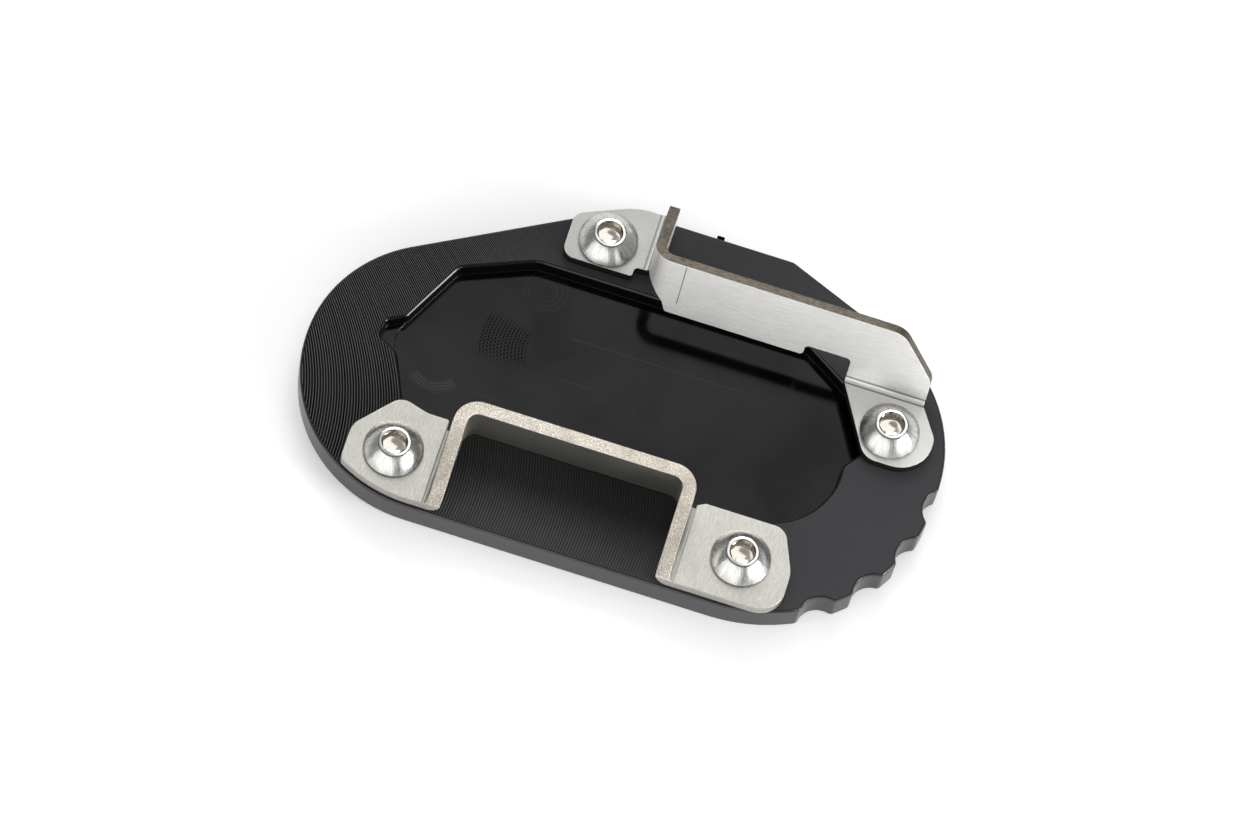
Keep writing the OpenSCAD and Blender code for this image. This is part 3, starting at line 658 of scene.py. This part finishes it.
def makeScrewFinish(plan):
    material, tree, shader, place = newMaterial("polishedScrew")
    own = addNode(tree, "ShaderNodeAttribute", attribute_name="ownPlace").outputs["Vector"]
    parts = split(tree, own)
    angle = calc(tree, "ARCTAN2", parts["Y"], parts["X"])
    reach = flatReach(tree, parts)
    around, outward = plan["fan"]["around"], plan["fan"]["outward"]
    fan = addNode(tree, "ShaderNodeCombineXYZ", {
        0: calc(tree, "MULTIPLY", calc(tree, "SINE", angle), around),
        1: calc(tree, "MULTIPLY", calc(tree, "COSINE", angle), around),
        2: calc(tree, "MULTIPLY", reach, outward)}).outputs[0]
    scratches = useGroup(tree, fineGrain, fan, plan["scratches"])
    marks = useGroup(tree, handMarks, place, plan["marks"])
    color = mixed(tree, scratches, plan["dark"], plan["light"])

    inner, outer = plan["ringRadii"]
    ring = calc(tree, "MULTIPLY", ranged(tree, reach, inner - plan["ringEdge"], inner),
                ranged(tree, reach, outer + plan["ringEdge"], outer))
    color = mixed(tree, ring, color, plan["ring"])

    # The socket, painted light and shade: a dark mouth at the top, darker warm walls, and a bright warm floor
    # below, standing in for the shade inside it and the light its walls throw on each other
    radius, edge = plan["socketRadius"], plan["socketEdge"]
    inside = ranged(tree, reach, radius + edge, radius - edge)
    upward = split(tree, addNode(tree, "ShaderNodeNewGeometry").outputs["Normal"])["Z"]
    deep = ranged(tree, parts["Z"], plan["mouthFrom"] + plan["mouthEdge"], plan["mouthFrom"])
    level = mixed(tree, deep, plan["mouth"], plan["socket"])
    pit = mixed(tree, ranged(tree, upward, *plan["wallLevels"]), plan["socketWallShade"], level)
    color = mixed(tree, inside, color, pit)

    groove = ranged(tree, distance(tree, reach, plan["grooveRadius"]), plan["grooveHalf"], 0.0)
    groove = calc(tree, "MULTIPLY", groove, ranged(tree, parts["Z"], *plan["grooveHeights"]))
    color = mixed(tree, groove, color, plan["groove"])

    plain = calc(tree, "MAXIMUM", inside, ring)
    rough = calc(tree, "MULTIPLY_ADD", marks, plan["markRough"], plan["rough"])
    rough = calc(tree, "MULTIPLY_ADD", plain, plan["socketRough"] - plan["rough"], rough)
    cuts = calc(tree, "MULTIPLY", scratches, calc(tree, "SUBTRACT", 1.0, plain))
    setInputs(tree, shader, {
        "Base Color": color, "Roughness": rough, "Metallic": 1.0,
        "Normal": bumped(tree, cuts, plan["scratchDepth"])})
    return material


anodisedPlate = makePlateFinish(plateFinish)
milledTop = makeTopFinish(topFinish)
nearSheet = makeSheetFinish("nearSheet", sheetFinish["near"], sheetFinish, nearCreases)
farSheet = makeSheetFinish("farSheet", sheetFinish["far"], sheetFinish, farCreases, scribedLine)
nearEdge = makeEdgeFinish("nearEdge", edgeFinish["near"], edgeFinish)
farEdge = makeEdgeFinish("farEdge", edgeFinish["far"], edgeFinish)
polishedScrew = makeScrewFinish(screwFinish)
print("finishes mixed")


# The plate: the CAD shape with its edges softened, and its top faces told from the rest

platePlan = {
    "top": 6.0,
    "within": 0.02,
    "level": 0.99,
    "edge": 0.10,
    "segments": 1,
    "sharpFrom": 40.0,
    "mergeWithin": 0.002,
    "flatWithin": 0.3,
    "stubFrom": 33.8,
    "stubLift": (0.0, 0.0, 1.15),
}


def mergedCopy(nodeName, name, plan):
    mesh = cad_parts[nodeName].data.copy()
    mesh.name = name
    mesh.materials.clear()
    work = bmesh.new()
    work.from_mesh(mesh)
    bmesh.ops.remove_doubles(work, verts=work.verts, dist=plan["mergeWithin"] * mm)
    bmesh.ops.dissolve_limit(work, angle_limit=math.radians(plan["flatWithin"]), use_dissolve_boundaries=False,
                             verts=work.verts, edges=work.edges)
    return mesh, work


def softened(mesh, name, work, materials, edge, segments, sharpFrom, bevelMaterial=-1):
    work.to_mesh(mesh)
    work.free()
    for material in materials:
        mesh.materials.append(material)
    carrier = putObject(name + "Carrier", mesh)
    bevel = carrier.modifiers.new("softEdges", "BEVEL")
    bevel.width = edge * mm
    bevel.segments = segments
    bevel.limit_method = "ANGLE"
    bevel.angle_limit = math.radians(sharpFrom)
    bevel.use_clamp_overlap = False
    bevel.material = bevelMaterial
    bevel.harden_normals = True
    even = carrier.modifiers.new("evenNormals", "WEIGHTED_NORMAL")
    even.mode = "FACE_AREA"
    even.weight = 100
    even.keep_sharp = True
    return plainPiece(carrier, name)


def plainPiece(carrier, name):
    bpy.context.view_layer.update()
    graph = bpy.context.evaluated_depsgraph_get()
    mesh = bpy.data.meshes.new_from_object(carrier.evaluated_get(graph))
    mesh.name = name
    carrier.modifiers.clear()
    bpy.data.objects.remove(carrier)
    return putObject(name, mesh)


def makePlate(plan):
    mesh, work = mergedCopy("base_plate", "basePlate", plan)
    for face in work.faces:
        high = abs(face.calc_center_median().z - plan["top"] * mm) < plan["within"] * mm
        face.material_index = 1 if high and face.normal.z > plan["level"] else 0
        face.smooth = True
    for vert in work.verts:
        if vert.co.y > plan["stubFrom"] * mm:  # the milling tab's stub on the far edge stands a little higher
            vert.co += Vector(plan["stubLift"]) * mm
    plate = softened(mesh, "basePlate", work, [anodisedPlate, milledTop], plan["edge"], plan["segments"],
                     plan["sharpFrom"], bevelMaterial=0)
    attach(plate, "root")
    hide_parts("base_plate")


makePlate(platePlan)
print("plate dressed")


# The folded brackets: the CAD sheets with their edges softened, and the cut edges told from the faces

bracketPlan = {
    "near": {"node": "near_bracket", "piece": "nearBracket", "sheet": 2.4, "edge": 0.11},
    "far": {"node": "far_bracket", "piece": "farBracket", "sheet": 2.0, "edge": 0.11},
    "segments": 2,
    "sharpFrom": 32.0,
    "mergeWithin": 0.002,
    "flatWithin": 0.4,
    "sheetWithin": 0.12,
    "rayStart": 0.01,
}


def softenBracket(plan, shared, faceMaterial, edgeMaterial):
    mesh, work = mergedCopy(plan["node"], plan["piece"], shared)

    # A face is the sheet's own where a ray from it comes out again after one thickness
    sheet = plan["sheet"] * mm
    tree = BVHTree.FromBMesh(work)
    largest = {}
    for loops in work.calc_loop_triangles():
        a, b, c = [loop.vert.co for loop in loops]
        size = (b - a).cross(c - a).length
        face = loops[0].face
        if face not in largest or size > largest[face][0]:
            largest[face] = (size, (a + b + c) / 3)
    for face, (size, spot) in largest.items():
        hit = tree.ray_cast(spot - face.normal * shared["rayStart"] * mm, -face.normal)
        through = hit[3] if hit[0] is not None else math.inf
        face.material_index = 0 if abs(through - sheet) < shared["sheetWithin"] * sheet else 1
        face.smooth = True
    bracket = softened(mesh, plan["piece"], work, [faceMaterial, edgeMaterial], plan["edge"], shared["segments"],
                       shared["sharpFrom"])
    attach(bracket, "root")
    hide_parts(plan["node"])


softenBracket(bracketPlan["near"], bracketPlan, nearSheet, nearEdge)
softenBracket(bracketPlan["far"], bracketPlan, farSheet, farEdge)


# Button head screws: the head is turned in mesh code, the thread and the seating are geometry nodes

screwPlan = {
    "headRadius": 5.25,
    "headHeight": 3.3,
    "flatRadius": 2.75,
    "rim": 0.5,
    "rimBevel": 0.12,
    "domeTurn": 10.0,
    "ringSlope": 0.04,
    "step": 0.06,
    "mouthRadius": 2.30,
    "socketAcross": 4.0,
    "socketDepth": 2.1,
    "socketCone": 0.5,
    "pitWidth": 0.97,
    "coneMiddle": (0.55, 0.45),
    "floorRound": 0.03,
    "mouthRound": (0.02, 0.03),
    "ringRound": 0.08,
    "rimRound": 0.08,
    "sides": 96,
    "domeSteps": 14,
    "neckRadius": 2.5,
    "neckDepth": 0.6,
    "thread": 5.96,
    "threadDepth": 0.5,
    "threadSides": 48,
    "threadRows": 8.0,
    "pitch": 1.0,
    "tipRecess": 0.6,
    "plate": 6.0,
    "tipBevel": 0.7,
    "sharpFrom": 28.0,
}


def turnHead(plan):
    sides = plan["sides"]
    head = plan["headHeight"]
    flat, radius, rim = plan["flatRadius"], plan["headRadius"], plan["rim"]
    top = head - plan["step"]
    lean = math.atan2(radius - flat, top - rim)
    swing = math.radians(plan["domeTurn"])
    domeR = math.hypot(radius - flat, top - rim) / (2 * math.sin(swing))
    fromAngle, toAngle = lean + swing, lean - swing
    domeX = flat - domeR * math.cos(fromAngle)
    domeZ = top - domeR * math.sin(fromAngle)
    across = plan["socketAcross"] / 2
    bottom = head - plan["socketDepth"]
    mouth = plan["mouthRadius"]
    gap = plan["floorRound"]
    inner, outer = plan["mouthRound"]
    width, depth = plan["coneMiddle"]
    bevel = plan["rimBevel"]

    def hexagon(turn):
        return across / math.cos((turn + math.pi / 6) % (math.pi / 3) - math.pi / 6)

    # Rings of points from the middle of the socket to the neck, each a radius and a height at any turn
    rings = [
        lambda turn: (across * width, bottom - plan["socketCone"] * depth),
        lambda turn: (across * plan["pitWidth"], bottom),
        lambda turn: (hexagon(turn) - gap, bottom),
        lambda turn: (hexagon(turn), bottom + gap),
        lambda turn: (hexagon(turn), head - (mouth - hexagon(turn)) - inner),
        lambda turn: (mouth - inner, head - inner),
        lambda turn: (mouth + outer, head),
        lambda turn: (flat - plan["ringRound"], head - plan["ringSlope"]),
    ]
    for step in range(plan["domeSteps"] + 1):
        angle = fromAngle + (toAngle - fromAngle) * step / plan["domeSteps"]
        spot = (domeX + domeR * math.cos(angle), domeZ + domeR * math.sin(angle))
        rings.append(lambda turn, spot=spot: spot)
    rings += [
        lambda turn: (radius, rim - plan["rimRound"]),
        lambda turn: (radius, bevel),
        lambda turn: (radius - bevel, 0.0),
        lambda turn: (plan["neckRadius"], 0.0),
        lambda turn: (plan["neckRadius"], -plan["neckDepth"]),
    ]

    work = bmesh.new()
    rows = []
    for ring in rings:
        row = []
        for side in range(sides):
            turn = 2 * math.pi * side / sides
            r, z = ring(turn)
            row.append(work.verts.new((r * math.cos(turn) * mm, r * math.sin(turn) * mm, z * mm)))
        rows.append(row)
    for upper, lower in zip(rows, rows[1:]):
        for side in range(sides):
            after = (side + 1) % sides
            work.faces.new((upper[side], lower[side], lower[after], upper[after]))
    pit = work.verts.new((0, 0, (bottom - plan["socketCone"]) * mm))
    end = work.verts.new((0, 0, -plan["neckDepth"] * mm))
    for side in range(sides):
        after = (side + 1) % sides
        work.faces.new((pit, rows[0][side], rows[0][after]))
        work.faces.new((end, rows[-1][after], rows[-1][side]))
    bmesh.ops.recalc_face_normals(work, faces=work.faces)
    mesh = bpy.data.meshes.new("screwHead")
    work.to_mesh(mesh)
    work.free()
    return putObject("screwHead", mesh)


def treeSeatScrews(plan):
    tree = bpy.data.node_groups.new("seatScrews", "GeometryNodeTree")
    sockets = {}
    for name, kind in (("Geometry", "NodeSocketGeometry"), ("Head", "NodeSocketObject"),
                       ("Length", "NodeSocketFloat"), ("Thread", "NodeSocketFloat"),
                       ("Thread Depth", "NodeSocketFloat"), ("Pitch", "NodeSocketFloat"),
                       ("Tip Bevel", "NodeSocketFloat"), ("Finish", "NodeSocketMaterial")):
        sockets[name] = tree.interface.new_socket(name=name, in_out="INPUT", socket_type=kind).identifier
    tree.interface.new_socket(name="Geometry", in_out="OUTPUT", socket_type="NodeSocketGeometry")
    given = addNode(tree, "NodeGroupInput").outputs

    # One thread: a cylinder whose skin rises and falls along a helix
    radius = calc(tree, "MULTIPLY", given["Thread"], 0.5)
    rows = calc(tree, "MULTIPLY", calc(tree, "DIVIDE", given["Length"], given["Pitch"]), plan["threadRows"])
    rod = addNode(tree, "GeometryNodeMeshCylinder", {
        "Vertices": plan["threadSides"], "Side Segments": rows, "Radius": radius, "Depth": given["Length"]},
        fill_type="NGON").outputs["Mesh"]
    parts = split(tree, addNode(tree, "GeometryNodeInputPosition").outputs[0])
    angle = calc(tree, "DIVIDE", calc(tree, "ARCTAN2", parts["Y"], parts["X"]), 2 * math.pi)
    turns = calc(tree, "SUBTRACT", calc(tree, "DIVIDE", parts["Z"], given["Pitch"]), angle)
    crest = calc(tree, "MULTIPLY", calc(tree, "PINGPONG", turns, 0.5), 2.0)
    sunk = calc(tree, "MULTIPLY", calc(tree, "SUBTRACT", 1.0, crest), given["Thread Depth"])
    outer = calc(tree, "SUBTRACT", radius, sunk)
    fromTip = calc(tree, "MULTIPLY_ADD", given["Length"], 0.5, parts["Z"])
    tip = calc(tree, "ADD", calc(tree, "SUBTRACT", radius, given["Tip Bevel"]), fromTip)
    shrink = calc(tree, "DIVIDE", calc(tree, "MINIMUM", outer, tip), radius)
    moved = addNode(tree, "ShaderNodeCombineXYZ", {
        0: calc(tree, "MULTIPLY", parts["X"], shrink), 1: calc(tree, "MULTIPLY", parts["Y"], shrink),
        2: calc(tree, "MULTIPLY_ADD", given["Length"], -0.5, parts["Z"])}).outputs[0]
    thread = addNode(tree, "GeometryNodeSetPosition", {"Geometry": rod, "Position": moved}).outputs[0]

    # The head joins it, each point keeps its own place for the scratches, and every seat gets a screw
    head = addNode(tree, "GeometryNodeObjectInfo", {"Object": given["Head"]}).outputs["Geometry"]
    joined = addNode(tree, "GeometryNodeJoinGeometry")
    tree.links.new(thread, joined.inputs[0])
    tree.links.new(head, joined.inputs[0])
    own = scaled(tree, addNode(tree, "GeometryNodeInputPosition").outputs[0], 1 / mm)
    whole = addNode(tree, "GeometryNodeStoreNamedAttribute", {
        "Geometry": joined.outputs[0], "Name": "ownPlace", "Value": own}, data_type="FLOAT_VECTOR").outputs[0]
    turn = addNode(tree, "GeometryNodeInputNamedAttribute", {"Name": "turn"}, data_type="FLOAT")
    turned = addNode(tree, "ShaderNodeCombineXYZ", {2: turn.outputs["Attribute"]}).outputs[0]
    seated = addNode(tree, "GeometryNodeInstanceOnPoints", {
        "Points": given["Geometry"], "Instance": whole, "Rotation": turned}).outputs[0]
    real = addNode(tree, "GeometryNodeRealizeInstances", {"Geometry": seated}).outputs[0]
    dressed = addNode(tree, "GeometryNodeSetMaterial", {"Geometry": real, "Material": given["Finish"]}).outputs[0]
    addNode(tree, "NodeGroupOutput", {0: dressed})
    return tree, sockets


def seatScrews(name, seats, sheet, plan, head, tree, sockets):
    spots = []
    for nodeName, turn in seats:
        low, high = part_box(nodeName)
        spots.append(((low.x + high.x) / 2, (low.y + high.y) / 2, high.z - plan["headHeight"] * mm))
    mesh = bpy.data.meshes.new(name + "Seats")
    mesh.from_pydata(spots, [], [])
    turns = mesh.attributes.new("turn", "FLOAT", "POINT")
    for value, (nodeName, turn) in zip(turns.data, seats):
        value.value = math.radians(turn)
    carrier = putObject(name + "Carrier", mesh)
    modifier = carrier.modifiers.new("seatScrews", "NODES")
    modifier.node_group = tree
    modifier[sockets["Head"]] = head
    modifier[sockets["Length"]] = (sheet + plan["plate"] - plan["tipRecess"]) * mm
    modifier[sockets["Thread"]] = plan["thread"] * mm
    modifier[sockets["Thread Depth"]] = plan["threadDepth"] * mm
    modifier[sockets["Pitch"]] = plan["pitch"] * mm
    modifier[sockets["Tip Bevel"]] = plan["tipBevel"] * mm
    modifier[sockets["Finish"]] = polishedScrew
    piece = plainPiece(carrier, name)
    piece.data.shade_smooth()
    piece.data.set_sharp_from_angle(angle=math.radians(plan["sharpFrom"]))
    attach(piece, "root")
    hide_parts(*[nodeName for nodeName, turn in seats])


screwHead = turnHead(screwPlan)
screwTree, screwSockets = treeSeatScrews(screwPlan)
nearSeats = [("screw_near_left", 19.0), ("screw_near_right", 29.0)]
farSeats = [("screw_far_left", 19.0), ("screw_far_right", 45.0)]
seatScrews("nearScrews", nearSeats, bracketPlan["near"]["sheet"], screwPlan, screwHead, screwTree, screwSockets)
seatScrews("farScrews", farSeats, bracketPlan["far"]["sheet"], screwPlan, screwHead, screwTree, screwSockets)
bpy.data.objects.remove(screwHead)
print("screws seated")

scene.view_settings.view_transform = "Standard"
